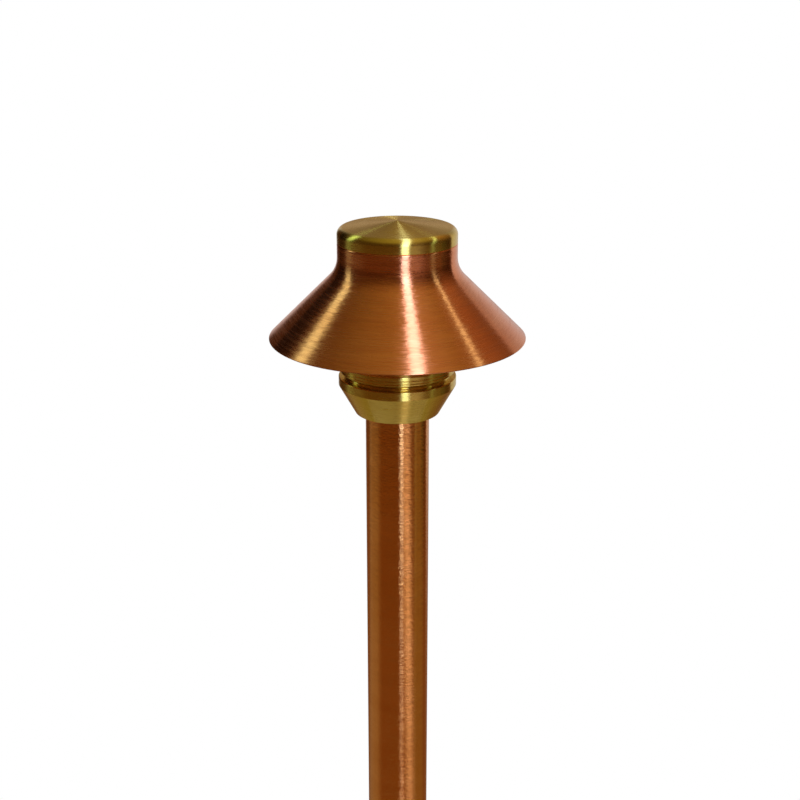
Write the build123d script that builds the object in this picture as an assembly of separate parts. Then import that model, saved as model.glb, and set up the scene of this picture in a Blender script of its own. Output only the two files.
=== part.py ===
from build123d import *

import math
import os

# A garden path light: a spun copper hat with a brass cap, over a glass lens tube
# that a brass ring screws down on a brass cup, on a copper stem in a ground stake.
# Millimetres, +Z up. The origin is on the light's axis at the ground line, which
# is the underside of the stake's flange.

os.makedirs("parts", exist_ok=True)

# Clearances shared by many pieces
thread_clearance = 0.05
slip_clearance = 0.05
lift_clearance = 0.2
visible_edge_round = 0.3

# Glass lens tube and the cage round it
lens_radius = 13.5
lens_wall = 2.0
lens_length = 34.6
gasket_thickness = 0.8
fence_gap = 0.1
fence_wall = 0.6
fence_height = 1.5
post_radius = 1.25
post_spigot_radius = 0.8
post_count = 3
post_first_angle = 90.0
cage_flange_thickness = 2.0
cage_flange_hole_radius = 11.0
top_plate_thickness = 2.2
top_plate_chamfer = 0.4

# Lens ring, which screws on the cup and pulls the cage flange down
ring_height = 7.35
ring_lip_thickness = 1.5
ring_lip_overlap = 1.15
ring_wall = 1.4
ring_chamfer = 0.35
grip_groove_depth = 0.18
grip_groove_width = 0.4
grip_groove_count = 2
grip_groove_pitch = 1.1
first_groove_height = 0.75
slip_washer_thickness = 0.5

# Base cup
cup_rim_overhang = 0.6
cup_rim_height = 2.7
cup_cone_height = 10.5
cup_neck_wall = 3.46
cup_spigot_height = 4.3
cup_spigot_wall = 1.9
cup_ledge_width = 1.2
cup_ledge_depth = 2.7
cup_floor_thickness = 3.0
stem_socket_depth = 6.5

# Copper stem, a 3/4 inch tube of 7/8 inch outer diameter, 12 inches long
stem_diameter = 22.225
stem_wall = 1.14
stem_length = 304.8

# Spun copper hat
hat_wall = 1.2
brim_radius = 43.9
brim_edge_height = 0.25
cone_angle = 45.0
neck_fillet_radius = 9.9
neck_length = 9.1
neck_top_round = 0.6

# Brass cap
cap_drum_height = 4.85
cap_crown_rise = 2.35
cap_edge_round = 2.4
cap_thread_radius = 10.0
cap_thread_length = 5.4
cap_bore_radius = 8.0
cap_bore_rise = 1.6
o_ring_centre_radius = 15.5
o_ring_section_radius = 0.8
o_ring_side_gap = 0.25
o_ring_end_gap = 0.03

# Stem adapter, lock nut and the grommet in it
adapter_plug_length = 12.0
adapter_thread_radius = 8.0
adapter_bore_radius = 5.0
adapter_thread_above_nut = 0.3
lock_nut_width = 17.5
lock_nut_thickness = 2.8
grommet_flange_radius = 6.6
grommet_flange_thickness = 1.0
grommet_sleeve_length = 4.0
grommet_bore_radius = 3.4

# Socket plate, its screws and the posts in the cup that they screw into
plate_thickness = 1.2
plate_edge_gap = 0.1
plate_wire_hole_radius = 4.2
plate_screw_circle_radius = 13.0
plate_screw_radius = 1.2
plate_screw_hole_radius = 1.4
plate_screw_length = 5.0
plate_screw_head_radius = 2.3
plate_screw_head_height = 1.4
screw_post_radius = 2.6
screw_slot_width = 0.5
screw_slot_depth = 0.5

# Lamp holder and its contacts
holder_radius = 5.0
holder_height = 10.0
holder_foot_height = 3.0
holder_foot_margin = 2.3
holder_recess_radius = 3.9
holder_recess_depth = 1.5
holder_screw_radius = 1.0
holder_screw_length = 5.0
holder_screw_head_radius = 1.8
holder_screw_head_height = 1.1
contact_length = 7.5
contact_width = 1.6
contact_depth = 2.2
contact_floor = 1.0
pin_entry_radius = 0.6

# Bi-pin lamp
lamp_radius = 4.75
lamp_length = 24.5
lamp_glass_wall = 0.8
lamp_pinch_height = 6.5
lamp_pinch_thickness = 3.6
lamp_tip_radius = 1.1
lamp_tip_height = 1.2
lamp_seat_gap = 0.2
pin_spacing = 4.0
pin_radius = 0.35
pin_length_below = 6.5
pin_length_above = 6.0
filament_radius = 0.6
filament_drop = 0.7

# Stem hub and its gasket
hub_thread_radius = 10.3
hub_thread_length = 11.5
hub_collar_radius = 13.0
hub_collar_height = 5.0
hub_plug_length = 14.0
hub_bore_radius = 6.0
hub_gasket_thickness = 1.2

# Ground stake
stake_flange_radius = 32.0
stake_flange_thickness = 4.0
stake_boss_radius = 17.0
stake_boss_height = 24.0
stake_edge_round = 1.2
stake_socket_floor = 1.0
stake_depth = 216.0
stake_fin_reach = 22.0
stake_fin_low_reach = 13.0
stake_fin_thickness = 3.2
stake_point_height = 62.0
stake_tip_reach = 1.2
stake_core_radius = 2.8
stake_core_tip_radius = 1.4
stake_rib_reach = 10.0
stake_rib_height = 16.0
stake_rib_thickness = 2.6

# Cable grommet in the boss, where the supply cable goes in
cable_height_above_flange = 7.0
cable_bore_radius = 4.0
cable_grommet_wall = 0.95
cable_flange_radius = 6.6
cable_flange_thickness = 1.6
cable_recess_depth = 2.0

# Lead wires and their twist-on connectors
lead_radius = 0.9
connector_radius = 4.1
connector_tip_radius = 2.7
connector_length = 18.0
connector_mouth_radius = 2.6
connector_mouth_depth = 5.0
connector_grip_depth = 4.0
connector_offset = 4.6
connector_height_above_hub = 24.0
# Bends of each lead, as x, y and share of the way up from its connector
live_lead_bends = [
    (4.6, 0.0, 0.094),
    (4.0, 0.6, 0.213),
    (2.7, -1.0, 0.348),
    (3.8, 0.3, 0.513),
    (2.2, 0.9, 0.685),
    (2.9, -0.7, 0.85),
]
return_lead_bends = [
    (-4.6, 0.0, 0.086),
    (-3.9, -0.8, 0.199),
    (-2.5, 1.0, 0.334),
    (-3.7, -0.2, 0.491),
    (-2.4, -1.0, 0.67),
    (-3.0, 0.6, 0.843),
]
lead_straight_drop = 14.0
lead_bend_share = 0.45

# Radii that follow from the sizes above, from the lens outwards
stem_radius = stem_diameter / 2
stem_bore_radius = stem_radius - stem_wall
lens_bore_radius = lens_radius - lens_wall
fence_inner_radius = lens_radius + fence_gap
fence_outer_radius = fence_inner_radius + fence_wall
post_circle_radius = fence_outer_radius + slip_clearance + post_radius
ring_lip_radius = post_circle_radius + post_radius + lift_clearance
cage_flange_radius = ring_lip_radius + ring_lip_overlap
spigot_radius = cage_flange_radius + lift_clearance
ring_bore_radius = spigot_radius + thread_clearance
ring_radius = ring_bore_radius + ring_wall
rim_radius = ring_radius + cup_rim_overhang
neck_radius = rim_radius
cap_radius = neck_radius
neck_bore_radius = neck_radius - hat_wall
top_plate_radius = neck_bore_radius - lift_clearance
cup_neck_radius = stem_radius + slip_clearance + cup_neck_wall
cavity_radius = spigot_radius - cup_spigot_wall
lower_cavity_radius = cavity_radius - cup_ledge_width
adapter_hole_radius = adapter_thread_radius + thread_clearance
holder_screw_place = holder_radius + holder_screw_head_radius + 2 * slip_clearance
holder_foot_length = 2 * (holder_screw_place + holder_foot_margin)
stake_socket_radius = hub_thread_radius + thread_clearance

# Heights above the ground line, from the stake upwards
boss_top = stake_flange_thickness + stake_boss_height
hub_seat = boss_top + hub_gasket_thickness
stem_bottom = hub_seat + hub_collar_height
stem_top = stem_bottom + stem_length
cup_bottom = stem_top - stem_socket_depth
floor_top = stem_top + cup_floor_thickness
rim_bottom = cup_bottom + cup_cone_height
rim_top = rim_bottom + cup_rim_height
spigot_top = rim_top + cup_spigot_height
ledge_height = spigot_top - cup_ledge_depth
plate_top = ledge_height + plate_thickness
holder_top = plate_top + holder_height
flange_bottom = spigot_top + gasket_thickness
flange_top = flange_bottom + cage_flange_thickness
washer_top = flange_top + slip_washer_thickness
ring_top = washer_top + ring_lip_thickness
ring_bottom = ring_top - ring_height
lens_bottom = flange_top + gasket_thickness
lens_top = lens_bottom + lens_length
top_plate_bottom = lens_top + gasket_thickness
top_plate_top = top_plate_bottom + top_plate_thickness
hat_top = top_plate_top + hat_wall
nut_top = floor_top + lock_nut_thickness
adapter_top = nut_top + adapter_thread_above_nut
lamp_bottom = holder_top + lamp_seat_gap
cable_height = stake_flange_thickness + cable_height_above_flange


def turned(*corners):
    """Turn an outline about the axis. A corner is radius, height and its own rounding."""
    points = [(corner[0], corner[1]) for corner in corners]
    rounds = [corner[2] if len(corner) > 2 else 0 for corner in corners]
    outline = FilletPolyline(*points, radius=rounds, close=True)
    return revolve(Plane.XZ * make_face(outline), Axis.Z)


def ring(inner, outer, low, high):
    """A plain ring or washer about the axis."""
    return turned((inner, low), (outer, low), (outer, high), (inner, high))


def rod(radius, low, high, x=0, y=0):
    """An upright round rod."""
    return Pos(x, y, low) * Cylinder(radius, high - low, align=(Align.CENTER, Align.CENTER, Align.MIN))


def post_places():
    """Centres of the cage posts, evenly round the lens."""
    step = 360.0 / post_count
    angles = [math.radians(post_first_angle + step * n) for n in range(post_count)]
    return [(post_circle_radius * math.cos(a), post_circle_radius * math.sin(a)) for a in angles]


def screw(x, y, seat, shank_radius, shank_length, head_radius, head_height):
    """A slotted cheese-head screw standing in its hole, with its head on the seat."""
    head = rod(head_radius, seat, seat + head_height, x, y)
    slot = Pos(x, y, seat + head_height) * Box(2 * head_radius, screw_slot_width, 2 * screw_slot_depth)
    return head + rod(shank_radius, seat - shank_length, seat, x, y) - slot


def make_hat():
    tangent = math.tan(math.radians(cone_angle))
    wall_drop = hat_wall / math.cos(math.radians(cone_angle))
    cone_foot = hat_top - neck_length - (brim_radius - neck_radius) * tangent
    brim_bottom = cone_foot - brim_edge_height
    outer_bend = cone_foot + (brim_radius - neck_radius) * tangent
    inner_foot = brim_radius + (cone_foot - wall_drop - brim_bottom) / tangent
    inner_bend = brim_bottom + (inner_foot - neck_bore_radius) * tangent
    lip_radius = cap_thread_radius + lift_clearance
    return turned(
        (inner_foot, brim_bottom),
        (brim_radius, brim_bottom),
        (brim_radius, cone_foot),
        (neck_radius, outer_bend, neck_fillet_radius),
        (neck_radius, hat_top, neck_top_round),
        (lip_radius, hat_top),
        (lip_radius, hat_top - hat_wall),
        (neck_bore_radius, hat_top - hat_wall),
        (neck_bore_radius, inner_bend, neck_fillet_radius + hat_wall),
    )


def make_cap():
    groove_half = o_ring_section_radius + o_ring_side_gap
    groove_top = hat_top + 2 * (o_ring_section_radius + o_ring_end_gap)
    return turned(
        (cap_bore_radius, hat_top - cap_thread_length),
        (cap_thread_radius, hat_top - cap_thread_length),
        (cap_thread_radius, hat_top),
        (o_ring_centre_radius - groove_half, hat_top),
        (o_ring_centre_radius - groove_half, groove_top),
        (o_ring_centre_radius + groove_half, groove_top),
        (o_ring_centre_radius + groove_half, hat_top),
        (cap_radius, hat_top),
        (cap_radius, hat_top + cap_drum_height, cap_edge_round),
        (0, hat_top + cap_drum_height + cap_crown_rise),
        (0, hat_top + cap_bore_rise),
        (cap_bore_radius, hat_top + cap_bore_rise),
    )


def make_o_ring():
    centre = hat_top + o_ring_end_gap + o_ring_section_radius
    return Pos(0, 0, centre) * Torus(o_ring_centre_radius, o_ring_section_radius)


def make_top_plate():
    bore = cap_thread_radius + thread_clearance
    plate = turned(
        (bore, top_plate_bottom),
        (fence_inner_radius, top_plate_bottom),
        (fence_inner_radius, top_plate_bottom - fence_height),
        (fence_outer_radius, top_plate_bottom - fence_height),
        (fence_outer_radius, top_plate_bottom),
        (top_plate_radius, top_plate_bottom),
        (top_plate_radius, top_plate_top - top_plate_chamfer),
        (top_plate_radius - top_plate_chamfer, top_plate_top),
        (bore, top_plate_top),
    )
    for x, y in post_places():
        plate -= rod(post_spigot_radius + slip_clearance, top_plate_bottom, top_plate_top, x, y)
    return plate


def make_cage_flange():
    flange = turned(
        (cage_flange_hole_radius, flange_bottom),
        (cage_flange_radius, flange_bottom),
        (cage_flange_radius, flange_top),
        (fence_outer_radius, flange_top),
        (fence_outer_radius, flange_top + fence_height),
        (fence_inner_radius, flange_top + fence_height),
        (fence_inner_radius, flange_top),
        (cage_flange_hole_radius, flange_top),
    )
    for x, y in post_places():
        flange -= rod(post_spigot_radius + slip_clearance, flange_bottom, flange_top, x, y)
    return flange


def make_cage_posts():
    posts = []
    for x, y in post_places():
        shoulder = rod(post_radius, flange_top, top_plate_bottom, x, y)
        spigots = rod(post_spigot_radius, flange_bottom, top_plate_top, x, y)
        posts.append(shoulder + spigots)
    return posts


def make_lens_ring():
    corners = [
        (ring_bore_radius, ring_bottom),
        (ring_radius - ring_chamfer, ring_bottom),
        (ring_radius, ring_bottom + ring_chamfer),
    ]
    for n in range(grip_groove_count):
        low = ring_bottom + first_groove_height + n * grip_groove_pitch
        corners.append((ring_radius, low))
        corners.append((ring_radius - grip_groove_depth, low + grip_groove_width / 2))
        corners.append((ring_radius, low + grip_groove_width))
    corners += [
        (ring_radius, ring_top - ring_chamfer),
        (ring_radius - ring_chamfer, ring_top),
        (ring_lip_radius, ring_top),
        (ring_lip_radius, washer_top),
        (ring_bore_radius, washer_top),
    ]
    return turned(*corners)


def make_base_cup():
    cup = turned(
        (stem_radius + slip_clearance, cup_bottom),
        (cup_neck_radius, cup_bottom),
        (rim_radius, rim_bottom, visible_edge_round),
        (rim_radius, rim_top, visible_edge_round),
        (spigot_radius, rim_top),
        (spigot_radius, spigot_top),
        (cavity_radius, spigot_top),
        (cavity_radius, ledge_height),
        (lower_cavity_radius, ledge_height),
        (lower_cavity_radius, floor_top),
        (adapter_hole_radius, floor_top),
        (adapter_hole_radius, stem_top),
        (stem_radius + slip_clearance, stem_top),
    )
    for y in (-plate_screw_circle_radius, plate_screw_circle_radius):
        cup += rod(screw_post_radius, floor_top, ledge_height, 0, y)
        pilot_bottom = plate_top - plate_screw_length - slip_clearance
        cup -= rod(plate_screw_radius + thread_clearance, pilot_bottom, ledge_height, 0, y)
    return cup


def make_stem_adapter():
    return turned(
        (adapter_bore_radius, stem_top - adapter_plug_length),
        (stem_bore_radius - slip_clearance, stem_top - adapter_plug_length),
        (stem_bore_radius - slip_clearance, stem_top),
        (adapter_thread_radius, stem_top),
        (adapter_thread_radius, adapter_top),
        (adapter_bore_radius, adapter_top),
    )


def make_lock_nut():
    hexagon = RegularPolygon(lock_nut_width / 2, 6, major_radius=False)
    blank = Pos(0, 0, floor_top) * extrude(hexagon, lock_nut_thickness)
    return blank - rod(adapter_hole_radius, floor_top, nut_top)


def make_wire_grommet():
    sleeve_radius = adapter_bore_radius - slip_clearance
    return turned(
        (grommet_bore_radius, adapter_top - grommet_sleeve_length),
        (sleeve_radius, adapter_top - grommet_sleeve_length),
        (sleeve_radius, adapter_top),
        (grommet_flange_radius, adapter_top),
        (grommet_flange_radius, adapter_top + grommet_flange_thickness),
        (grommet_bore_radius, adapter_top + grommet_flange_thickness),
    )


def make_socket_plate():
    plate = ring(plate_wire_hole_radius, cavity_radius - plate_edge_gap, ledge_height, plate_top)
    for side in (-1, 1):
        plate -= rod(plate_screw_hole_radius, ledge_height, plate_top, 0, side * plate_screw_circle_radius)
        hole = holder_screw_radius + thread_clearance
        plate -= rod(hole, ledge_height, plate_top, side * holder_screw_place, 0)
    return plate


def make_plate_screws():
    places = (-plate_screw_circle_radius, plate_screw_circle_radius)
    return [
        screw(
            0,
            y,
            plate_top,
            plate_screw_radius,
            plate_screw_length,
            plate_screw_head_radius,
            plate_screw_head_height,
        )
        for y in places
    ]


def make_lamp_holder():
    foot_top = plate_top + holder_foot_height
    foot = Pos(0, 0, plate_top) * extrude(
        SlotOverall(holder_foot_length, 2 * holder_radius), holder_foot_height
    )
    holder = foot + rod(holder_radius, plate_top, holder_top)
    holder -= rod(holder_recess_radius, plate_top, plate_top + holder_recess_depth)
    contact_bottom = plate_top + holder_recess_depth
    pocket_height = contact_length + slip_clearance
    for side in (-1, 1):
        x = side * pin_spacing / 2
        pocket = Box(
            contact_width + 2 * slip_clearance,
            contact_depth + 2 * slip_clearance,
            pocket_height,
            align=(Align.CENTER, Align.CENTER, Align.MIN),
        )
        holder -= Pos(x, 0, contact_bottom) * pocket
        holder -= rod(pin_entry_radius, contact_bottom, holder_top, x)
        hole = holder_screw_radius + 2 * slip_clearance
        holder -= rod(hole, plate_top, foot_top, side * holder_screw_place)
    return holder


def make_holder_contacts():
    contact_bottom = plate_top + holder_recess_depth
    contacts = []
    for side in (-1, 1):
        x = side * pin_spacing / 2
        block = Pos(x, 0, contact_bottom) * Box(
            contact_width, contact_depth, contact_length, align=(Align.CENTER, Align.CENTER, Align.MIN)
        )
        bore = pin_radius + slip_clearance
        top = contact_bottom + contact_length
        contacts.append(block - rod(bore, contact_bottom + contact_floor, top, x))
    return contacts


def make_holder_screws():
    foot_top = plate_top + holder_foot_height
    return [
        screw(
            side * holder_screw_place,
            0,
            foot_top,
            holder_screw_radius,
            holder_screw_length,
            holder_screw_head_radius,
            holder_screw_head_height,
        )
        for side in (-1, 1)
    ]


def make_lamp_bulb():
    shoulder = lamp_bottom + lamp_length - lamp_tip_height
    capsule = turned(
        (0, lamp_bottom),
        (lamp_radius, lamp_bottom),
        (lamp_radius, shoulder, lamp_radius * 0.8),
        (0, shoulder),
    )
    capsule += rod(lamp_tip_radius, shoulder - lamp_tip_height, lamp_bottom + lamp_length)
    cheek_depth = lamp_radius - lamp_pinch_thickness / 2
    for side in (-1, 1):
        cheek = Box(2 * lamp_radius, cheek_depth, lamp_pinch_height)
        centre_y = side * (lamp_pinch_thickness / 2 + cheek_depth / 2)
        capsule -= Pos(0, centre_y, lamp_bottom + lamp_pinch_height / 2) * cheek
    hollow_radius = lamp_radius - lamp_glass_wall
    hollow_bottom = lamp_bottom + lamp_pinch_height + lamp_glass_wall
    hollow_top = shoulder - lamp_glass_wall
    capsule -= turned(
        (0, hollow_bottom),
        (hollow_radius, hollow_bottom),
        (hollow_radius, hollow_top, hollow_radius * 0.8),
        (0, hollow_top),
    )
    for side in (-1, 1):
        hole = pin_radius + slip_clearance
        capsule -= rod(hole, lamp_bottom, hollow_bottom, side * pin_spacing / 2)
    return capsule


def make_lamp_pins():
    low = lamp_bottom - pin_length_below
    high = lamp_bottom + lamp_pinch_height + pin_length_above
    return [rod(pin_radius, low, high, side * pin_spacing / 2) for side in (-1, 1)]


def make_filament():
    height = lamp_bottom + lamp_pinch_height + pin_length_above - filament_drop
    length = pin_spacing - 2 * (pin_radius + slip_clearance)
    return Pos(0, 0, height) * Rot(0, 90, 0) * Cylinder(filament_radius, length)


def make_stem_hub():
    plug_radius = stem_bore_radius - slip_clearance
    return turned(
        (hub_bore_radius, hub_seat - hub_gasket_thickness - hub_thread_length),
        (hub_thread_radius, hub_seat - hub_gasket_thickness - hub_thread_length),
        (hub_thread_radius, hub_seat),
        (hub_collar_radius, hub_seat, visible_edge_round),
        (hub_collar_radius, stem_bottom, visible_edge_round),
        (plug_radius, stem_bottom),
        (plug_radius, stem_bottom + hub_plug_length),
        (hub_bore_radius, stem_bottom + hub_plug_length),
    )


def make_ground_stake():
    stake = turned(
        (0, 0),
        (stake_flange_radius, 0),
        (stake_flange_radius, stake_flange_thickness, stake_edge_round),
        (stake_boss_radius, stake_flange_thickness),
        (stake_boss_radius, boss_top, stake_edge_round),
        (0, boss_top),
    )
    rib = Polyline(
        (0, stake_flange_thickness / 2),
        (stake_boss_radius + stake_rib_reach, stake_flange_thickness / 2),
        (stake_boss_radius + stake_rib_reach, stake_flange_thickness),
        (stake_boss_radius, stake_flange_thickness + stake_rib_height),
        (0, stake_flange_thickness + stake_rib_height),
        close=True,
    )
    rib_plate = extrude(Plane.XZ * make_face(rib), stake_rib_thickness / 2, both=True)
    for angle in (45, 135, 225, 315):
        stake += Rot(0, 0, angle) * rib_plate
    point_top = stake_point_height - stake_depth
    fin = Polyline(
        (-stake_fin_reach, stake_flange_thickness / 2),
        (stake_fin_reach, stake_flange_thickness / 2),
        (stake_fin_low_reach, point_top),
        (stake_tip_reach, -stake_depth),
        (-stake_tip_reach, -stake_depth),
        (-stake_fin_low_reach, point_top),
        close=True,
    )
    fin_plate = extrude(Plane.XZ * make_face(fin), stake_fin_thickness / 2, both=True)
    stake += fin_plate
    stake += Rot(0, 0, 90) * fin_plate
    stake += turned(
        (0, -stake_depth),
        (stake_core_tip_radius, -stake_depth),
        (stake_core_radius, stake_flange_thickness / 2),
        (0, stake_flange_thickness / 2),
    )
    socket_bottom = stake_flange_thickness + stake_socket_floor
    stake -= rod(stake_socket_radius, socket_bottom, boss_top)
    hole = cable_bore_radius + cable_grommet_wall + slip_clearance
    recess = cable_flange_radius + 2 * slip_clearance
    recess_face = stake_boss_radius - cable_recess_depth
    stake -= Pos(0, 0, cable_height) * back_rod(hole, 0, stake_boss_radius)
    stake -= Pos(0, 0, cable_height) * back_rod(recess, recess_face, stake_boss_radius)
    return stake


def back_rod(radius, near, far):
    """A round rod along +Y, towards the back of the light."""
    upright = Cylinder(radius, far - near, align=(Align.CENTER, Align.CENTER, Align.MIN))
    return Pos(0, near, 0) * Rot(-90, 0, 0) * upright


def make_cable_grommet():
    sleeve = cable_bore_radius + cable_grommet_wall
    recess_face = stake_boss_radius - cable_recess_depth
    inner_end = stake_socket_radius + slip_clearance
    outer_end = recess_face + cable_flange_thickness
    body = back_rod(sleeve, inner_end, recess_face) + back_rod(cable_flange_radius, recess_face, outer_end)
    return Pos(0, 0, cable_height) * (body - back_rod(cable_bore_radius, inner_end, outer_end))


def make_lead(side, bends, name):
    """A lead from its lamp contact down the stem to its connector."""
    top = plate_top + holder_recess_depth
    mouth = stem_bottom + connector_height_above_hub + connector_length
    low = mouth - connector_mouth_depth - connector_grip_depth
    x = side * pin_spacing / 2
    route = [(side * connector_offset, 0, low)]
    route += [(bend[0], bend[1], low + bend[2] * (top - low)) for bend in bends]
    route += [(x, 0, top - lead_straight_drop), (x, 0, top)]
    points = [Vector(*place) for place in route]
    radii = []
    for n in range(1, len(points) - 1):
        before = points[n] - points[n - 1]
        after = points[n + 1] - points[n]
        turn = math.radians(before.get_angle(after))
        shorter = min(before.length, after.length)
        radii.append(lead_bend_share * shorter / math.tan(turn / 2))
    path = FilletPolyline(*points, radius=radii)
    start = Plane(path @ 0, z_dir=path % 0)
    lead = sweep(start * Circle(lead_radius), path=path)
    expected = math.pi * lead_radius**2 * path.length
    print(name, "bend radii", [round(r) for r in radii])
    print(name, "length", round(path.length, 1), "volume against section", round(lead.volume / expected, 4))
    return lead


def make_connectors():
    mouth = stem_bottom + connector_height_above_hub + connector_length
    grip = lead_radius + slip_clearance
    shell = turned(
        (0, mouth - connector_length),
        (connector_tip_radius, mouth - connector_length),
        (connector_radius, mouth - connector_mouth_depth),
        (connector_radius, mouth),
        (connector_mouth_radius, mouth),
        (connector_mouth_radius, mouth - connector_mouth_depth),
        (grip, mouth - connector_mouth_depth),
        (grip, mouth - connector_mouth_depth - connector_grip_depth),
        (0, mouth - connector_mouth_depth - connector_grip_depth),
    )
    return [Pos(side * connector_offset, 0, 0) * shell for side in (-1, 1)]


pieces = {
    "top_cap": make_cap(),
    "cap_o_ring": make_o_ring(),
    "copper_hat": make_hat(),
    "top_plate": make_top_plate(),
    "cage_posts": make_cage_posts(),
    "lens_tube": ring(lens_bore_radius, lens_radius, lens_bottom, lens_top),
    "upper_lens_gasket": ring(lens_bore_radius, lens_radius, lens_top, top_plate_bottom),
    "lower_lens_gasket": ring(lens_bore_radius, lens_radius, flange_top, lens_bottom),
    "cage_flange": make_cage_flange(),
    "flange_gasket": ring(cavity_radius, cage_flange_radius, spigot_top, flange_bottom),
    "slip_washer": ring(ring_lip_radius + slip_clearance, cage_flange_radius, flange_top, washer_top),
    "lens_ring": make_lens_ring(),
    "base_cup": make_base_cup(),
    "stem_adapter": make_stem_adapter(),
    "stem_lock_nut": make_lock_nut(),
    "wire_grommet": make_wire_grommet(),
    "socket_plate": make_socket_plate(),
    "socket_plate_screws": make_plate_screws(),
    "lamp_holder": make_lamp_holder(),
    "holder_contacts": make_holder_contacts(),
    "holder_screws": make_holder_screws(),
    "lamp_bulb": make_lamp_bulb(),
    "lamp_pins": make_lamp_pins(),
    "lamp_filament": make_filament(),
    "live_lead": make_lead(1, live_lead_bends, "live_lead"),
    "return_lead": make_lead(-1, return_lead_bends, "return_lead"),
    "wire_connectors": make_connectors(),
    "stem_tube": ring(stem_bore_radius, stem_radius, stem_bottom, stem_top),
    "stem_hub": make_stem_hub(),
    "hub_gasket": ring(stake_socket_radius, hub_collar_radius, boss_top, hub_seat),
    "ground_stake": make_ground_stake(),
    "cable_grommet": make_cable_grommet(),
}

for name, shape in pieces.items():
    solids = shape if isinstance(shape, list) else [shape]
    export_step(Compound(solids), f"parts/{name}.step")
print(len(pieces), "nodes, total height", round(hat_top + cap_drum_height + cap_crown_rise, 2))
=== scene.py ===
# %% [markdown]
# # A copper and brass path light
# The real light is a stack of lathe work: a brass cap on a spun copper hat, a glass
# lens under the hat, a brass ring and cup that clamp the glass, and a copper stem that
# ends in a ground stake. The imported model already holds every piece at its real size,
# so this script only gives the pieces their finish, and turns finer meshes for the
# ones whose reflections would show every facet.

# %% Load the frame
import math
import bmesh
import bpy
from mathutils import Matrix, Vector


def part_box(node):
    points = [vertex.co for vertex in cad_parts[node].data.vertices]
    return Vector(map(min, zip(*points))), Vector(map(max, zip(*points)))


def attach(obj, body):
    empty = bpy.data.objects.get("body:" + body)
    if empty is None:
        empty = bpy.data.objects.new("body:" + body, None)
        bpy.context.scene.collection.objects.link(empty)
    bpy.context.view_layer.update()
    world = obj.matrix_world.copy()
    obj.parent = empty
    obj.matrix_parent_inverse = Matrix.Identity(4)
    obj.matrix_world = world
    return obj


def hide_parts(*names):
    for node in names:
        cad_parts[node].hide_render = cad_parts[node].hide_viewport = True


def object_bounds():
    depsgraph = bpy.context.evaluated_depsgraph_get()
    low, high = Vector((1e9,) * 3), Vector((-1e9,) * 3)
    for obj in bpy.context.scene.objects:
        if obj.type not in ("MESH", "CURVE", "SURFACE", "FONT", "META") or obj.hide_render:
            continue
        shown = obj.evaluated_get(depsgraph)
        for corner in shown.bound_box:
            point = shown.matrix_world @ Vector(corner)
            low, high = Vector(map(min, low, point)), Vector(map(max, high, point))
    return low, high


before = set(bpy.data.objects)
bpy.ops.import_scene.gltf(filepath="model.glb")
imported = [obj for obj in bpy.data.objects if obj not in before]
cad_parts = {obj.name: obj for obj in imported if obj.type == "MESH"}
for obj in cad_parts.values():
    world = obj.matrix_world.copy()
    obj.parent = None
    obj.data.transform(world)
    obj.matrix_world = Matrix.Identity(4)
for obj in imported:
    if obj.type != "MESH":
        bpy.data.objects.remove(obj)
cad_low, cad_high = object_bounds()
print("nodes", len(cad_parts), "height", round(cad_high.z - cad_low.z, 4))

# %% [markdown]
# ## Units and a few shared sizes
# Blender works in metres here, and the light is measured in millimetres, so one named
# value turns one into the other. Heights are read off the frame's boxes, which keeps a
# turned piece exactly where the construction puts it.

# %% Units, and the places of the turned pieces
mm = 0.001
scene = bpy.context.scene


def heights(node):
    """Lowest and highest point of a node, in millimetres."""
    low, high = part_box(node)
    return low.z / mm, high.z / mm


def outer_radius(node):
    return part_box(node)[1].x / mm


brim_bottom, hat_top = heights("copper_hat")
ring_bottom, ring_top = heights("lens_ring")
cup_bottom, cup_top = heights("base_cup")
stem_bottom, stem_top = heights("stem_tube")
brim_radius = outer_radius("copper_hat")
neck_radius = outer_radius("top_cap")
print("hat", round(2 * brim_radius, 2), "mm across, brim at", round(brim_bottom, 2), "mm")

# %% [markdown]
# ## The camera
# A photograph of a turned object gives its camera away: the ellipses of the cap, the
# brim and the cup open by different amounts. Fitting them gives a long lens that looks
# down by nineteen degrees from under half a metre, so the camera is placed by those
# measurements and looks at nothing in particular.

# %% Place the camera
camera_pitch = math.radians(19.117)
camera_distance = 457.65 * mm
camera_above_brim = 135.29 * mm
camera_aside = 0.9 * mm

camera_data = bpy.data.cameras.new("photo_camera")
camera_data.lens = 62.53
camera_data.sensor_width = 36.0
camera_data.clip_start = 10 * mm
camera = bpy.data.objects.new("photo_camera", camera_data)
camera.location = (camera_aside, -camera_distance, brim_bottom * mm + camera_above_brim)
camera.rotation_euler = (math.pi / 2 - camera_pitch, 0, 0)
scene.collection.objects.link(camera)
scene.camera = camera
scene.view_settings.view_transform = "Standard"
print("camera at", [round(v, 4) for v in camera.location])

# %% [markdown]
# ## Writing shaders as sums
# A node tree is hard to read as boxes and hard to type as links. Here a small class
# wraps one socket, so that adding, multiplying or subtracting two of them adds the
# Math node that does it, and `1 - scratch` simply works. Every other node comes from
# one method, which sets the node's options first and then its sockets.

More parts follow.
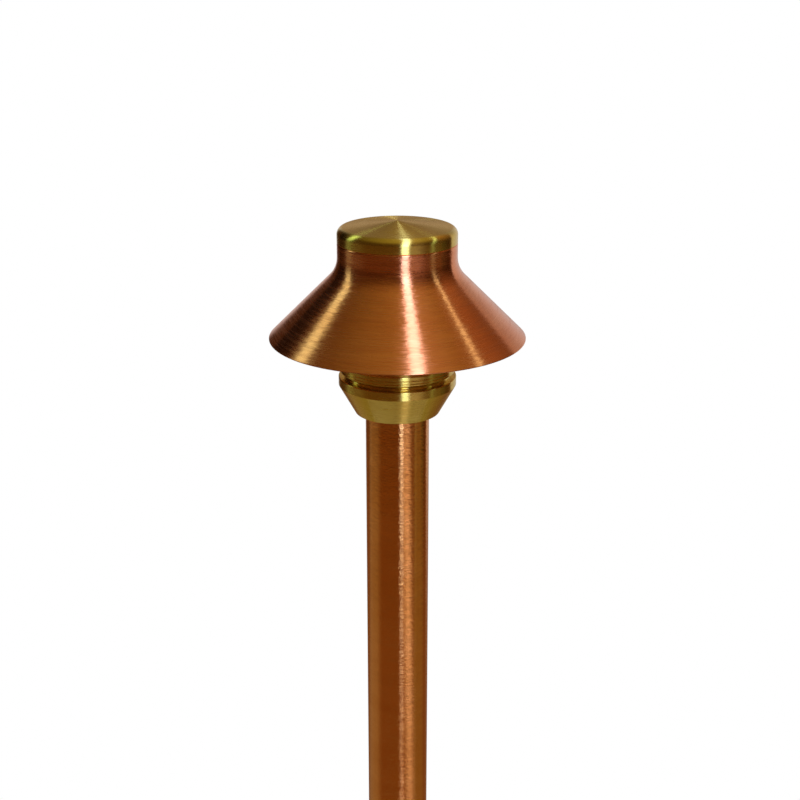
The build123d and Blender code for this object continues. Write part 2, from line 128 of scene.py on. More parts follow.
# %% A socket that does arithmetic, and a tree that makes nodes
class Wire:
    """One value in a node tree. Arithmetic on it adds Math nodes."""

    def __init__(self, tree, socket):
        self.tree = tree
        self.socket = socket

    def math(self, operation, *others):
        values = dict(enumerate((self, *others)))
        return self.tree.node("Math", {"operation": operation}, values)

    def __add__(self, other):
        return self.math("ADD", other)

    def __mul__(self, other):
        return self.math("MULTIPLY", other)

    def __sub__(self, other):
        return self.math("SUBTRACT", other)

    def __truediv__(self, other):
        return self.math("DIVIDE", other)

    def __rsub__(self, other):
        return self.tree.node("Math", {"operation": "SUBTRACT"}, {0: other, 1: self})

    __radd__ = __add__
    __rmul__ = __mul__


class Tree:
    """A node tree with one method that adds any node."""

    def __init__(self, node_tree):
        self.nodes = node_tree.nodes
        self.links = node_tree.links
        self.nodes.clear()

    def node(self, kind, settings=None, values=None, output=0):
        made = self.nodes.new("ShaderNode" + kind)
        for name, setting in (settings or {}).items():
            setattr(made, name, setting)
        for name, value in (values or {}).items():
            self.feed(made.inputs[name], value)
        return Wire(self, made.outputs[output]) if made.outputs else None

    def feed(self, socket, value):
        if isinstance(value, Wire):
            self.links.new(value.socket, socket)
        else:
            socket.default_value = value

    def parts(self, vector):
        """The three numbers of a vector."""
        first = self.node("SeparateXYZ", values={0: vector})
        return [Wire(self, output) for output in first.socket.node.outputs]

    def blend(self, amount, first, second):
        """Mix two colours; amount runs from the first to the second."""
        settings = {"data_type": "RGBA", "blend_type": "MIX", "clamp_factor": True}
        first = first if isinstance(first, Wire) else (*first, 1.0)
        second = second if isinstance(second, Wire) else (*second, 1.0)
        return self.node("Mix", settings, {0: amount, 6: first, 7: second}, output=2)

    def span(self, value, low, high, to_low=0.0, to_high=1.0):
        """Carry a value smoothly from one range to another, held at both ends."""
        settings = {"interpolation_type": "SMOOTHSTEP", "clamp": True}
        values = {0: value, 1: low, 2: high, 3: to_low, 4: to_high}
        return self.node("MapRange", settings, values)


print("shader helpers ready")

# %% [markdown]
# ## The studio
# Polished metal has hardly any colour of its own: it shows the room. A product
# photographer hides the room with black cards and puts long soft boxes where a bright
# line should run down the metal. The same studio is written here as a world: for every
# direction it says how bright the room is there. Bearings are measured round the point
# straight behind the light, from the camera's side, positive to the right: all
# directions of one bearing are those that the grooves of one upright line on the metal
# gather, so each soft box draws one clean line. Each box has a soft lower and upper end,
# and leans if its line is to drift sideways as it goes down the metal.

# %% Build the studio
world = bpy.data.worlds.new("studio")
world.use_nodes = True
scene.world = world
room = Tree(world.node_tree)
room_x, room_y, room_z = room.parts(room.node("TexCoord", output="Generated"))
elevation = room_z.math("ARCSINE")
straight_behind = math.cos(camera_pitch)
bearing = 2.0 * room_x.math("ARCTAN2", straight_behind - room_y)


def climb(low, high, to_low=0.0, to_high=1.0):
    """Change with height in the room, from one elevation in degrees to another."""
    return room.span(elevation, math.radians(low), math.radians(high), to_low, to_high)


lean_height = -15.0      # the elevation at which a leaning box stands at its own bearing


def sector(centre, half_width, edge, lean=0.0):
    """1 within half_width degrees of a bearing, 0 outside. lean turns it as it rises."""
    middle = (elevation - math.radians(lean_height)) * lean + math.radians(centre)
    away = (bearing - middle).math("WRAP", math.pi, -math.pi).math("ABSOLUTE")
    inside = math.radians(half_width - edge / 2)
    outside = math.radians(half_width + edge / 2)
    return room.span(away, inside, outside, 1.0, 0.0)


# bearing, half width, soft edge, lean, lower end, upper end, what is left above it
soft_boxes = {
    "main": (14.5, 6.5, 4.0, 0.05, (-18.5, -11.5), (15, 80), 0.6),
    "main_spill": (34.0, 16.0, 26.0, 0.0, (-30, -10), (70, 88), 0.5),
    "main_foot": (19.0, 11.0, 17.0, -1.6, (-46, -25), (-22, -17), 0.0),
    "cup_line": (17.0, 7.0, 12.0, 0.0, (-66, -58), (-48, -40), 0.0),
    "left": (-113.0, 6.2, 2.5, 0.285, (-13, 29), (60, 85), 0.5),
    "left_low": (-95.0, 24.0, 30.0, 0.0, (-60, -34), (-20, -15), 0.0),
    "right_wall": (118.0, 32.0, 30.0, 0.0, (0, 24), (60, 85), 0.6),
    "right": (69.5, 3.0, 3.0, 0.184, (-28, 40), (60, 85), 0.5),
    "right_low": (84.0, 22.0, 22.0, 0.0, (-50, -26), (-19, -14), 0.0),
}
glare = {
    "main": (3.25, 4.5, 7.7),
    "main_spill": (0.08, 0.06, 0.06),
    "main_foot": (0.95, 0.95, 1.1),
    "cup_line": (1.8, 1.5, 2.1),
    "left": (1.05, 1.75, 1.3),
    "left_low": (0.11, 0.14, 0.1),
    "right_wall": (0.14, 0.08, 0.035),
    "right": (0.95, 1.4, 1.15),
    "right_low": (0.06, 0.09, 0.04),
}
left_below = 0.02        # what is left of a box below its lower end
boxes = room.node("CombineXYZ")
for name, (centre, half_width, edge, lean, lowest, highest, top) in soft_boxes.items():
    box = sector(centre, half_width, edge, lean) * climb(*lowest, left_below, 1.0)
    box = box * climb(*highest, 1.0, top)
    mask = room.node("CombineXYZ", values={n: box for n in range(3)})
    boxes = room.node("VectorMath", {"operation": "MULTIPLY_ADD"},
                      {0: mask, 1: glare[name], 2: boxes})
print("soft boxes", len(soft_boxes))

# %% [markdown]
# Between the boxes the room is dim, brighter at its foot and towards the ceiling. Two
# black flags cut it beside the metal, for the dark lines that give a turned piece its
# edge. Behind the light hangs a white backdrop that ends on the left and at the floor,
# and low in front of it stands a bench, which brings warm light to the metal's sides.

# %% Hang the cards and the backdrop
room_dark = 0.052
room_foot = 0.2
ceiling = 0.11
ceiling_glow = 0.21
ground = 0.1
behind = room.span(room_y, 0.6, 0.8)
left_flag = sector(-132.0, 15.0, 6.0) * climb(-22, -15) * climb(40, 70, 1.0, 0.3)
right_flag = sector(107.0, 13.0, 6.0) * climb(-27, -17) * climb(-5, 15, 1.0, 0.0)
cards = climb(-22, -14, room_foot, room_dark) * (1.0 - 0.8 * (left_flag + right_flag))
cards = cards + climb(20, 60) * (ceiling + ceiling_glow * sector(60.0, 95.0, 110.0))
cards = cards + climb(-34, -60) * ground * (1.0 - 0.5 * sector(-24.0, 20.0, 6.0))
left_end = room.span(room_x, -0.42, -0.2)
backdrop_centre = 166.5
backdrop_half = 38.5
backdrop = sector(backdrop_centre, backdrop_half, 6.0).math("MAXIMUM", behind)
backdrop = backdrop * climb(4, 28, 1.0, 0.4) * climb(-27, -17, 0.12, 1.0) * left_end
bench = behind * room.span(room_x.math("ABSOLUTE"), 0.12, 0.26, 1.0, 0.0) * climb(-8, -2)
print("backdrop from bearing", backdrop_centre - backdrop_half,
      "to", backdrop_centre + backdrop_half)

# %% [markdown]
# The camera sees white in every direction, so the light stands free on the page. Glossy
# and see-through rays get the white backdrop where it hangs, and elsewhere the soft
# boxes, with their slightly cool or green glare, and the warm brown of an old workshop.
# Light that only falls on a matt surface is neutral and filled up a little, so that
# rubber and plastic keep their own colour.

# %% Show the backdrop
ray = {name: room.node("LightPath", output=name)
       for name in ("Is Camera Ray", "Is Glossy Ray", "Is Transmission Ray")}
mirrored = (ray["Is Glossy Ray"] + ray["Is Transmission Ray"]).math("MINIMUM", 1.0)


def grey(value):
    return room.node("CombineXYZ", values={n: value for n in range(3)})


def vector(operation, first, second):
    return room.node("VectorMath", {"operation": operation}, {0: first, 1: second})


neutral_boxes = grey(room.node("RGBToBW", values={0: boxes}))
glare_boxes = room.blend(mirrored, neutral_boxes, boxes)
ceiling_tone = room.blend(sector(112.0, 40.0, 50.0), (1.0, 0.8, 0.22), (1.0, 0.58, 0.2))
room_tone = room.blend(climb(10, 60), (1.0, 0.44, 0.12), ceiling_tone)
room_tone = room.blend(climb(-35, -60), room_tone, (1.0, 0.88, 0.3))
warm = room.blend(mirrored, (1.0, 1.0, 1.0), room_tone)
seen_cards = vector("MULTIPLY", warm, grey(cards * (1.0 - backdrop)))
seen_boxes = vector("MULTIPLY", glare_boxes, grey(1.0 - behind))
sheet = room.blend(bench * mirrored, (1.0, 0.97, 0.97), (1.0, 0.74, 0.5))
sheet_light = backdrop * (0.5 + 0.12 * mirrored) * (1.0 - 0.3 * bench)
matt_fill = 0.25 * (1.0 - mirrored)
whites = vector("MULTIPLY", sheet, grey(sheet_light + matt_fill))
studio = vector("ADD", vector("ADD", seen_cards, seen_boxes), whites)
colour = room.blend(ray["Is Camera Ray"], studio, (1.0, 1.0, 1.0))
glow = room.node("Background", values={"Color": colour, "Strength": 1.0})
room.node("OutputWorld", values={"Surface": glow})
print("world nodes", len(world.node_tree.nodes))

# %% [markdown]
# ## The floor
# The light stands on its stake on a small round table. Near the stake the table is a
# plain matt white that takes the object's shadow. Towards its rim it fades into the
# white of the page, so that no edge of the table shows from any side. From below it is
# clear, so that the light can be looked at from there as well.

# %% Lay the floor
floor_radius = 330 * mm
floor_height = cad_low.z - 0.3 * mm

floor_mesh = bpy.data.meshes.new("floor")
table = bmesh.new()
bmesh.ops.create_circle(table, cap_ends=True, segments=128, radius=floor_radius)
table.to_mesh(floor_mesh)
table.free()
floor = bpy.data.objects.new("floor", floor_mesh)
floor.location.z = floor_height
scene.collection.objects.link(floor)

floor_material = bpy.data.materials.new("white_table")
floor_material.use_nodes = True
white = Tree(floor_material.node_tree)
floor_x, floor_y, floor_z = white.parts(white.node("TexCoord", output="Object"))
from_middle = (floor_x * floor_x + floor_y * floor_y).math("SQRT") / floor_radius
seen = white.node("LightPath", output="Is Camera Ray")
matt = white.node("BsdfDiffuse", values={"Color": (0.5, 0.47, 0.4, 1.0)})
lift = white.node("Emission", values={"Color": (0.93, 0.96, 1.0, 1.0), "Strength": 0.68 * seen})
page = white.node("Emission", values={"Color": (1.0, 1.0, 1.0, 1.0), "Strength": 1.0})
table_top = white.node("AddShader", values={0: matt, 1: lift})
fade = white.span(from_middle, 0.3, 0.97) * seen
faced = white.node("MixShader", values={0: fade, 1: table_top, 2: page})
underside = white.node("NewGeometry", output="Backfacing")
clear = white.node("BsdfTransparent")
surface = white.node("MixShader", values={0: underside, 1: faced, 2: clear})
white.node("OutputMaterial", values={"Surface": surface})
floor_mesh.materials.append(floor_material)
print("floor at", round(floor_height, 4))

# %% [markdown]
# ## Turned metal
# A lathe tool and an abrasive pad leave thousands of fine grooves that run round the
# piece. They spread a reflection up and down but hardly sideways, so a soft box shows
# as one line from top to bottom, whatever the slope. The shader's anisotropy does the
# same. Cycles measures it along a tangent that runs round the Z axis, and a quarter
# turn of rotation lays the wide part of the highlight across the grooves.

# %% Noise that runs round the axis
def new_finish(name):
    material = bpy.data.materials.new(name)
    material.use_nodes = True
    return material, Tree(material.node_tree)


class LatheMarks:
    """Noise whose streaks run round the Z axis, at any pitch, without a seam."""

    def __init__(self, tree):
        self.tree = tree
        self.place = tree.node("TexCoord", output="Object")
        self.x, self.y, self.z = tree.parts(self.place)
        self.radius = (self.x * self.x + self.y * self.y).math("SQRT")
        self.round_x = self.x / self.radius
        self.round_y = self.y / self.radius

    def streaks(self, per_mm, arcs, detail=2.0):
        """per_mm marks along the profile; arcs sets how often a mark breaks off."""
        pitch = per_mm / mm
        values = {0: self.z * pitch, 1: self.radius * pitch, 2: self.round_x * arcs}
        profile = self.tree.node("CombineXYZ", values=values)
        return self.tree.node("TexNoise", {"noise_dimensions": "4D"}, {
            "Vector": profile, "W": self.round_y * arcs, "Scale": 1.0, "Detail": detail})

    def clouds(self, size_mm, detail=3.0):
        return self.tree.node("TexNoise", values={
            "Vector": self.place, "Scale": 1.0 / (size_mm * mm), "Detail": detail})


print("lathe marks ready")

# %% [markdown]
# The finish mixes marks of several sizes. Hair lines and tool marks roughen the surface
# and change how far each band spreads the light, and short nicks break its relief. Wide
# bands and slow clouds shift the colour the way handled, lacquered metal shifts. A thin
# clear coat carries the white heart of the highlight, which bare copper would tint. On
# the stem a very slow relief, called wander, lets the highlight drift sideways.

# %% Build a turned finish
def turned_finish(name, pale, deep, stain, rough, spread, arcs, coat, nicks, wander=0.0):
    material, tree = new_finish(name)
    marks = LatheMarks(tree)
    hair = marks.streaks(2.2, arcs)
    tool = marks.streaks(1.15, arcs * 0.8, 1.0)
    nick = marks.streaks(1.4, arcs * 3.0, 1.0)
    band = marks.streaks(0.2, 0.4, 1.0)
    cloud = marks.clouds(17.0)

    grooves = tree.span(tool, 0.4, 0.62)
    lines = tree.span(hair, 0.38, 0.64)
    roughness = rough + 0.7 * spread * (lines - 0.5) + spread * (grooves - 0.5)
    tone = 0.75 * tree.span(band, 0.3, 0.7) + 0.05 * grooves + 0.2 * lines
    colour = tree.blend(tone, pale, deep)
    colour = tree.blend(0.5 * tree.span(cloud, 0.48, 0.72), colour, stain)
    height = 0.03 * hair + 0.03 * tool + nicks * nick
    relief = tree.node("Bump", values={
        "Strength": 1.0, "Distance": 0.02 * mm, "Height": height})
    if wander:
        slow = marks.clouds(30.0, 1.0)
        relief = tree.node("Bump", values={
            "Strength": 1.0, "Distance": wander * mm, "Height": slow, "Normal": relief})
    shader = tree.node("BsdfPrincipled", values={
        "Base Color": colour, "Metallic": 1.0, "Roughness": roughness, "Normal": relief,
        "Anisotropic": 0.97, "Anisotropic Rotation": 0.25,
        "Coat Weight": coat, "Coat Roughness": 0.12, "Coat IOR": 1.5})
    tree.node("OutputMaterial", values={"Surface": shader})
    print(name, "nodes", len(material.node_tree.nodes))
    return material


# pale, deep and stained colour, then roughness, its spread, arcs, coat, nicks and wander
turned_metals = {
    "turned_brass": ((0.78, 0.56, 0.13), (0.72, 0.49, 0.09), (0.68, 0.49, 0.08),
                     0.25, 0.035, 3.0, 0.06, 1.0),
    "machined_brass": ((0.84, 0.56, 0.18), (0.78, 0.5, 0.14), (0.7, 0.46, 0.12),
                       0.26, 0.06, 6.0, 0.1, 1.0),
    "spun_copper": ((0.89, 0.33, 0.14), (0.84, 0.28, 0.11), (0.81, 0.26, 0.095),
                    0.26, 0.06, 3.0, 0.08, 3.0),
    "copper_tube": ((0.87, 0.39, 0.12), (0.81, 0.34, 0.09), (0.77, 0.32, 0.075),
                    0.15, 0.05, 4.0, 0.04, 3.0, 0.05),
}
finishes = {name: turned_finish(name, *look) for name, look in turned_metals.items()}

# %% [markdown]
# ## Plain steel, nickel and wire
# The hidden fittings are bought parts: stainless plate and washers, nickel plated
# contacts and screws, and tungsten wire. They have no lathe marks worth seeing, so fine
# scratches in all directions and a little variation in polish are enough.

# %% Fine scratched metals
def plain_metal(name, colour, dull, rough, grain_mm):
    material, tree = new_finish(name)
    place = tree.node("TexCoord", output="Object")
    scratch = tree.node("TexNoise", values={
        "Vector": place, "Scale": 1.0 / (grain_mm * mm), "Detail": 5.0, "Distortion": 1.2})
    smudge = tree.node("TexNoise", values={"Vector": place, "Scale": 1.0 / (9 * mm)})
    tint = tree.blend(tree.span(smudge, 0.4, 0.7), colour, dull)
    relief = tree.node("Bump", values={
        "Strength": 0.5, "Distance": 0.01 * mm, "Height": scratch})
    shader = tree.node("BsdfPrincipled", values={
        "Base Color": tint, "Metallic": 1.0, "Normal": relief,
        "Roughness": rough + 0.2 * (scratch - 0.5)})
    tree.node("OutputMaterial", values={"Surface": shader})
    return material


finishes["stainless"] = plain_metal("stainless", (0.62, 0.62, 0.6), (0.5, 0.5, 0.49), 0.32, 0.8)
finishes["nickel"] = plain_metal("nickel", (0.72, 0.7, 0.66), (0.6, 0.58, 0.53), 0.2, 1.0)
finishes["tungsten"] = plain_metal("tungsten", (0.36, 0.35, 0.34), (0.22, 0.21, 0.2), 0.4, 0.3)
print("metals", len(finishes))

# %% [markdown]
# ## Glass
# The lens is a plain length of borosilicate tube and the lamp is a quartz capsule. Both
# are modelled with a real wall, so the shader can bend the light properly. The uneven
# part is only a film of dust and hard water, which roughens the glass here and there.

# %% Glass finishes
def glass(name, tint, film):
    material, tree = new_finish(name)
    place = tree.node("TexCoord", output="Object")
    haze = tree.node("TexNoise", values={"Vector": place, "Scale": 1.0 / (6 * mm), "Detail": 4.0})
    ripple = tree.node("TexNoise", values={"Vector": place, "Scale": 1.0 / (14 * mm)})
    relief = tree.node("Bump", values={"Strength": 0.3, "Distance": 0.03 * mm, "Height": ripple})
    shader = tree.node("BsdfPrincipled", values={
        "Base Color": tree.blend(tree.span(haze, 0.5, 0.8), tint, (0.84, 0.86, 0.84)),
        "Roughness": film * tree.span(haze, 0.45, 0.8), "Normal": relief,
        "IOR": 1.47, "Transmission Weight": 1.0})
    tree.node("OutputMaterial", values={"Surface": shader})
    return material


finishes["lens_glass"] = glass("lens_glass", (0.95, 0.98, 0.97), 0.16)
finishes["lamp_glass"] = glass("lamp_glass", (0.98, 0.98, 0.98), 0.04)

# %% [markdown]
# ## Rubber, silicone, ceramic and plastic
# None of these is a metal, so light enters the surface a little and comes back with the
# material's own colour. What tells them apart is the grain: moulded plastic has a spark
# eroded skin, rubber a bloom of chalky grey, and unglazed ceramic fine pores.

# %% Moulded and fired finishes
def moulded(name, colour, bloom, rough, grain_mm, depth_mm):
    material, tree = new_finish(name)
    place = tree.node("TexCoord", output="Object")
    grain = tree.node("TexVoronoi", values={"Vector": place, "Scale": 1.0 / (grain_mm * mm)})
    fine = tree.node("TexNoise", values={
        "Vector": place, "Scale": 2.5 / (grain_mm * mm), "Detail": 4.0})
    patch = tree.node("TexNoise", values={"Vector": place, "Scale": 1.0 / (22 * mm), "Detail": 3.0})
    chalk = 0.6 * tree.span(patch, 0.42, 0.75) + 0.25 * tree.span(fine, 0.45, 0.8)
    relief = tree.node("Bump", values={
        "Strength": 0.6, "Distance": depth_mm * mm, "Height": grain + 0.6 * fine})
    shader = tree.node("BsdfPrincipled", values={
        "Base Color": tree.blend(chalk, colour, bloom), "Normal": relief,
        "Roughness": rough + 0.18 * (fine - 0.5) + 0.1 * chalk})
    tree.node("OutputMaterial", values={"Surface": shader})
    return material


finishes["black_rubber"] = moulded("black_rubber", (0.03, 0.03, 0.03), (0.07, 0.068, 0.065),
                                   0.62, 0.35, 0.03)
finishes["silicone"] = moulded("silicone", (0.5, 0.13, 0.08), (0.56, 0.2, 0.14), 0.55, 0.5, 0.02)
finishes["black_insulation"] = moulded("black_insulation", (0.028, 0.028, 0.03),
                                       (0.06, 0.06, 0.06), 0.42, 0.4, 0.012)
finishes["white_insulation"] = moulded("white_insulation", (0.78, 0.77, 0.73),
                                       (0.68, 0.66, 0.6), 0.42, 0.4, 0.012)
finishes["connector_plastic"] = moulded("connector_plastic", (0.2, 0.2, 0.21),
                                        (0.27, 0.27, 0.28), 0.4, 0.5, 0.02)
finishes["stake_plastic"] = moulded("stake_plastic", (0.024, 0.025, 0.024),
                                    (0.055, 0.055, 0.05), 0.5, 0.55, 0.03)
finishes["steatite"] = moulded("steatite", (0.84, 0.82, 0.76), (0.76, 0.72, 0.64), 0.7, 0.45, 0.02)
print("finishes", sorted(finishes))

# %% [markdown]
# ## Dress the pieces of the frame
# Each node of the frame already carries the name of its finish. Swapping the material
# in its slot dresses the piece and leaves its shape alone.

# %% Dress every node
dressed = 0
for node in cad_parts.values():
    for material_slot in node.material_slots:
        plain_name = material_slot.material.name.split(".")[0]
        if plain_name in finishes and material_slot.material is not finishes[plain_name]:
            material_slot.material = finishes[plain_name]
            dressed += 1
print("dressed", dressed, "of", len(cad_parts))

# %% [markdown]
# ## A lathe
# Nearly every piece that shows is turned, so its mesh is an outline carried round an
# axis. Blender's Screw or Spin tools do this, but writing the points directly keeps the
# vertex order, the roundings and the shading under control. Each corner gives a radius,
# a height and how far it is rounded. A pair of close rings beside every rounding holds
# the flat faces flat, because smooth shading would otherwise bend their reflections.

# %% Round the corners of an outline
def rounded(corners, steps=9, guard=0.06):
    """Outline points for corners (radius, height, rounding), in millimetres."""
    points = []
    for n, (radius, height, *rounding) in enumerate(corners):
        here = Vector((radius, height))
        to_last = Vector(corners[n - 1][:2]) - here
        to_next = Vector(corners[(n + 1) % len(corners)][:2]) - here
        bend = to_last.angle(to_next)
        if not rounding or not rounding[0]:
            points.append(here)
            continue
        reach = rounding[0] / math.tan(bend / 2)
        start = here + to_last.normalized() * reach
        end = here + to_next.normalized() * reach
        middle = here + (start + end - 2 * here).normalized() * rounding[0] / math.sin(bend / 2)
        turn = math.pi - bend
        side = (start - middle).cross(end - middle)
        points.append(start + to_last.normalized() * guard)
        for k in range(steps + 1):
            angle = math.copysign(turn * k / steps, side)
            points.append(middle + Matrix.Rotation(angle, 2) @ (start - middle))
        points.append(end + to_next.normalized() * guard)
    return points


test_outline = rounded([(0, 0), (10, 0, 2), (10, 5), (0, 5)])
print("points round one corner", len(test_outline) - 3)

# %% [markdown]
# The lathe closes the outline, so a piece has its real inside as well. A point on the
# axis becomes one vertex. `cut` may change the radius of each point, which is how a
# thread gets in, and `beside` moves the axis, for a small post beside the middle.

# %% Carry an outline round an axis
shell_steps = 256


def carry_round(work, corners, turns=shell_steps, cut=None, beside=(0.0, 0.0)):
    """Add one turned shell to a mesh that is being built."""
    rings = []
    for radius, height in rounded(corners):
        spots = [(0.0, 0.0)]
        if radius > 1e-6:
            angles = [2 * math.pi * k / turns for k in range(turns)]
            reach = [cut(radius, height, angle) if cut else radius for angle in angles]
            spots = [(r * math.cos(a), r * math.sin(a)) for r, a in zip(reach, angles)]
        rings.append([work.verts.new(((x + beside[0]) * mm, (y + beside[1]) * mm, height * mm))
                      for x, y in spots])
    for first, second in zip(rings, rings[1:] + rings[:1]):
        for k in range(turns):
            corners_of_face = [first[k % len(first)], first[(k + 1) % len(first)],
                               second[(k + 1) % len(second)], second[k % len(second)]]
            different = list(dict.fromkeys(corners_of_face))
            if len(different) > 2:
                work.faces.new(different)


print("a shell has", shell_steps, "steps round")

# %% [markdown]
# Every finished mesh goes through the same last steps: its normals are turned outwards,
# edges sharper than a set angle stay sharp, the piece is hung on the body it rides on
# and wears its finish, and the node it stands for is hidden.

# %% Finish a piece
def finish_piece(name, work, node, body, finish, sharp=24.0):
    bmesh.ops.recalc_face_normals(work, faces=work.faces)
    mesh = bpy.data.meshes.new(name)
    work.to_mesh(mesh)
    work.free()
    mesh.shade_smooth()
    mesh.set_sharp_from_angle(angle=math.radians(sharp))
    mesh.materials.append(finishes[finish])
    piece = bpy.data.objects.new(name, mesh)
    scene.collection.objects.link(piece)
    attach(piece, body)
    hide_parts(node)
    print(name, "faces", len(mesh.polygons))


def lathe(name, corners, node, body, finish, cut=None):
    """A turned piece that stands for a node."""
    work = bmesh.new()
    carry_round(work, corners, cut=cut)
    finish_piece(name, work, node, body, finish)


# %% [markdown]
# ## The hat
# The hat is spun: a copper disc is pressed over a former while it turns, which leaves
# one even wall from the neck to the brim. So the outline is drawn twice, once outside
# and once inside, a wall apart. The cone falls at forty-five degrees and blends into the
# neck through a wide fillet.

# %% Spin the hat
hat_wall = 1.2
neck_fillet = 9.9
brim_edge = 0.25
cone_foot = brim_bottom + brim_edge
cone_top = cone_foot + brim_radius - neck_radius
bore_radius = neck_radius - hat_wall
inner_foot = brim_radius + brim_edge - hat_wall * math.sqrt(2)
inner_top = brim_bottom + inner_foot - bore_radius
cap_hole = 10.2

lathe("spun_hat", [
    (inner_foot, brim_bottom),
    (brim_radius, brim_bottom, 0.1),
    (brim_radius, cone_foot, 0.1),
    (neck_radius, cone_top, neck_fillet),
    (neck_radius, hat_top, 0.6),
    (cap_hole, hat_top),
    (cap_hole, hat_top - hat_wall),
    (bore_radius, hat_top - hat_wall),
    (bore_radius, inner_top, neck_fillet + hat_wall),
], "copper_hat", "hat", "spun_copper")

# %% [markdown]
# ## The cap
# The cap is turned from brass bar. Its crown is a very shallow cone, which is why the
# light fans out from the middle of the top, and its edge is rounded so that rain runs
# off. A threaded spigot underneath goes through the hat. The thread is cut into its
# wall: going once round the axis moves the cut by one pitch.

# %% Cut a thread
thread_pitch = 1.5
thread_depth = 0.42
thread_run_out = 0.4


def wall(radius, low, high, step=0.12):
    """Close outline points up a wall, for a thread to be cut into."""
    count = round((high - low) / step)
    return [(radius, low + (high - low) * n / count) for n in range(count + 1)]


def thread(radius, low, high):
    """A cut that turns the wall of this radius between two heights into a thread."""
    def cut(r, height, angle):
        if abs(r - radius) > 0.01 or not low <= height <= high:
            return r
        turn = (height - low) / thread_pitch - angle / (2 * math.pi)
        valley = 1.0 - abs(2.0 * (turn % 1.0) - 1.0)
        run_out = min(1.0, (height - low) / thread_run_out, (high - height) / thread_run_out)
        return r - thread_depth * valley * run_out
    return cut


print("thread", thread_pitch, "mm a turn and", thread_depth, "mm deep")

# %% Turn the cap
drum_height = 4.85
crown_rise = 2.35
cap_edge_round = 2.4
cap_bore = 8.0
cap_bore_end = hat_top + 1.6
spigot_radius = 10.0
spigot_length = 5.4
spigot_foot = hat_top - spigot_length
thread_span = (spigot_foot + 0.45, hat_top - 0.3)
seal_inner, seal_outer, seal_depth = 14.45, 16.55, 1.66


def crown(radius):
    """A point on the cap's shallow cone."""
    return radius, hat_top + drum_height + crown_rise * (1 - radius / neck_radius)


lathe("turned_cap", [
    (cap_bore, spigot_foot),
    (spigot_radius, spigot_foot, 0.3),
    *wall(spigot_radius, *thread_span),
    (spigot_radius, hat_top),
    (seal_inner, hat_top),
    (seal_inner, hat_top + seal_depth),
    (seal_outer, hat_top + seal_depth),
    (seal_outer, hat_top),
    (neck_radius, hat_top, 0.12),
    (neck_radius, hat_top + drum_height, cap_edge_round),
    *[crown(radius) for radius in (10.0, 3.0, 0.5, 0.0)],
    (0, cap_bore_end),
    (cap_bore, cap_bore_end),
], "top_cap", "cap", "turned_brass", thread(spigot_radius, *thread_span))

# %% [markdown]
# ## The lens ring and the cup
# The ring is the nut that pulls the glass down. Two fine grooves give wet fingers a
# grip, and their edges catch the light as thin bright lines. Above them a wide hollow
# leans back, so it mirrors the dark underside of the hat. The cup under the ring starts
# with a short rim and then falls as a cone to the stem.

# %% Turn the ring
ring_radius = outer_radius("lens_ring")
ring_bore = 18.35
lip_radius = 16.95
lip_bottom = ring_top - 1.5
groove_count = 2
groove_start = ring_bottom + 0.6
groove_spacing = 1.05
groove_depth = 0.14
groove_width = 0.36
hollow_low = ring_bottom + 3.1
hollow_middle = ring_bottom + 4.9
hollow_high = ring_bottom + 5.7
hollow_depth = 1.2

ring_corners = [(ring_bore, ring_bottom), (ring_radius, ring_bottom, 0.25)]
for groove in range(groove_count):
    low = groove_start + groove_spacing * groove
    ring_corners += [(ring_radius, low, 0.06),
                     (ring_radius - groove_depth, low + groove_width / 2),
                     (ring_radius, low + groove_width, 0.06)]
ring_corners += [(ring_radius, hollow_low, 0.5),
                 (ring_radius - hollow_depth, hollow_middle, 0.3),
                 (ring_radius, hollow_high, 0.15),
                 (ring_radius, ring_top, 0.35), (lip_radius, ring_top),
                 (lip_radius, lip_bottom), (ring_bore, lip_bottom)]
lathe("grip_ring", ring_corners, "lens_ring", "lens_ring", "turned_brass")

# %% Turn the cup
rim_radius = outer_radius("base_cup")
rim_bottom = cup_bottom + 10.15
rim_top = cup_bottom + 13.2
foot_radius = 14.6225
cup_spigot = 18.3
cup_thread_span = (rim_top + 0.2, cup_top - 0.45)
cavity = 16.4
lower_cavity = 15.2
ledge = cup_top - 2.7
cup_floor = 342.0
floor_hole = 8.05
stem_socket = 11.1625

cup = bmesh.new()
carry_round(cup, [
    (stem_socket, cup_bottom),
    (foot_radius, cup_bottom, 0.25),
    (rim_radius, rim_bottom, 0.3),
    (rim_radius, rim_top, 0.3),
    (cup_spigot, rim_top),
    *wall(cup_spigot, *cup_thread_span),
    (cup_spigot, cup_top, 0.3),
    (cavity, cup_top, 0.2),
    (cavity, ledge),
    (lower_cavity, ledge),
    (lower_cavity, cup_floor),
    (floor_hole, cup_floor),
    (floor_hole, stem_top),
    (stem_socket, stem_top),
], cut=thread(cup_spigot, *cup_thread_span))

# %% Add the cup's two screw posts
post_radius = 2.6
post_bore = 1.25
post_offset = 13.0
post_foot = cup_floor - 0.3
post_steps = 48
bore_foot = cup_top - 7.75

for side in (-1, 1):
    carry_round(cup, [
        (0, post_foot), (post_radius, post_foot), (post_radius, ledge, 0.25),
        (post_bore, ledge, 0.15), (post_bore, bore_foot), (0, bore_foot),
    ], turns=post_steps, beside=(0.0, side * post_offset))
finish_piece("turned_cup", cup, "base_cup", "base", "turned_brass")

# %% [markdown]
# ## The stem
# The stem is drawn copper tube that was brushed by hand as it turned, so its marks are
# shorter and less even than the hat's. A real tube is never quite straight. Its mesh is,
# and the slow relief in its finish makes the highlight wander as a drawn tube's does.

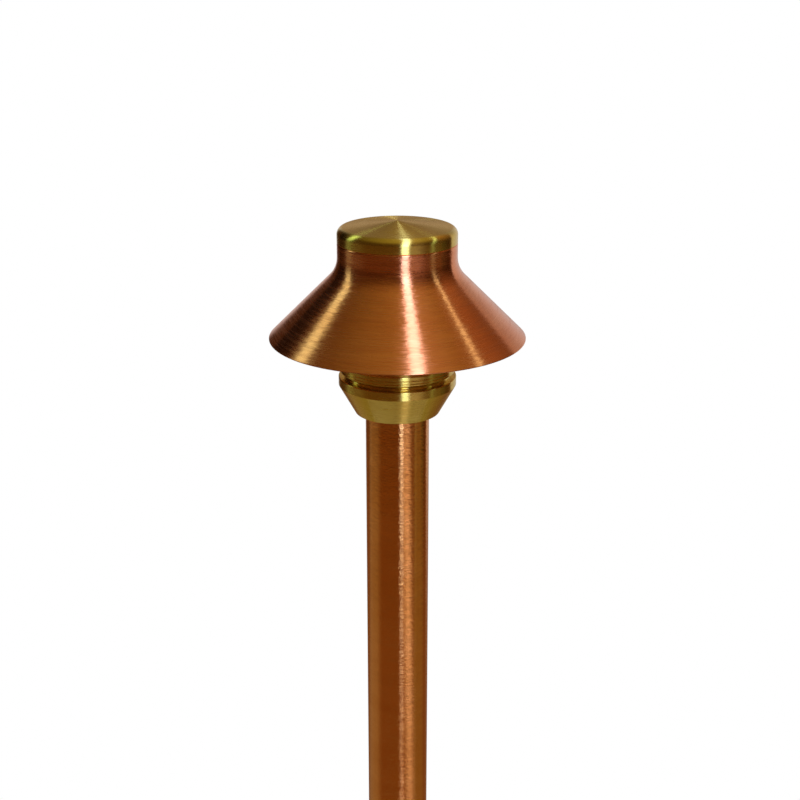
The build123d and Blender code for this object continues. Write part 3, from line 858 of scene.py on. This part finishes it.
# %% Draw the stem
stem_radius = outer_radius("stem_tube")
stem_wall = 1.14
stem_bore = stem_radius - stem_wall

lathe("brushed_stem", [
    (stem_bore, stem_bottom),
    (stem_radius, stem_bottom, 0.25),
    (stem_radius, stem_top, 0.25),
    (stem_bore, stem_top),
], "stem_tube", "base", "copper_tube")

# %% [markdown]
# ## The glass and the lamp's filament
# A cut length of glass tube has its ends melted smooth in a flame, which rounds them.
# The filament is a coil of tungsten wire. Each step of the coil lays a small ring of
# points square to the wire, and the rings are joined into a tube.

# %% Melt the ends of the lens
glass_low, glass_high = heights("lens_tube")
glass_radius = outer_radius("lens_tube")
glass_wall = 2.0
glass_bore = glass_radius - glass_wall
melted = 0.45

lathe("glass_lens", [
    (glass_bore, glass_low, melted), (glass_radius, glass_low, melted),
    (glass_radius, glass_high, melted), (glass_bore, glass_high, melted),
], "lens_tube", "lens_cage", "lens_glass")

# %% Wind the filament
coil_low, coil_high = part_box("lamp_filament")
coil_middle = (coil_low + coil_high) / 2
wire_radius = 0.07 * mm
coil_radius = (coil_high.z - coil_low.z) / 2 - wire_radius
coil_turns = 11
steps_a_turn = 20
wire_sides = 8
coil_steps = coil_turns * steps_a_turn
coil_length = coil_high.x - coil_low.x - 2 * wire_radius
coil_axis = Vector((1, 0, 0))
side_angles = [2 * math.pi * k / wire_sides for k in range(wire_sides)]

coil = bmesh.new()
wire = []
for n in range(coil_steps + 1):
    angle = 2 * math.pi * n / steps_a_turn
    along = (n / coil_steps - 0.5) * coil_length
    out = Vector((0, math.cos(angle), math.sin(angle)))
    centre = coil_middle + coil_axis * along + out * coil_radius
    wire.append([coil.verts.new(
        centre + wire_radius * (out * math.cos(around) + coil_axis * math.sin(around)))
        for around in side_angles])
for first, second in zip(wire, wire[1:]):
    for k in range(wire_sides):
        coil.faces.new((first[k], first[k - 1], second[k - 1], second[k]))
coil.faces.new(wire[0])
coil.faces.new(wire[-1])
finish_piece("wound_filament", coil, "lamp_filament", "lamp", "tungsten", sharp=60.0)
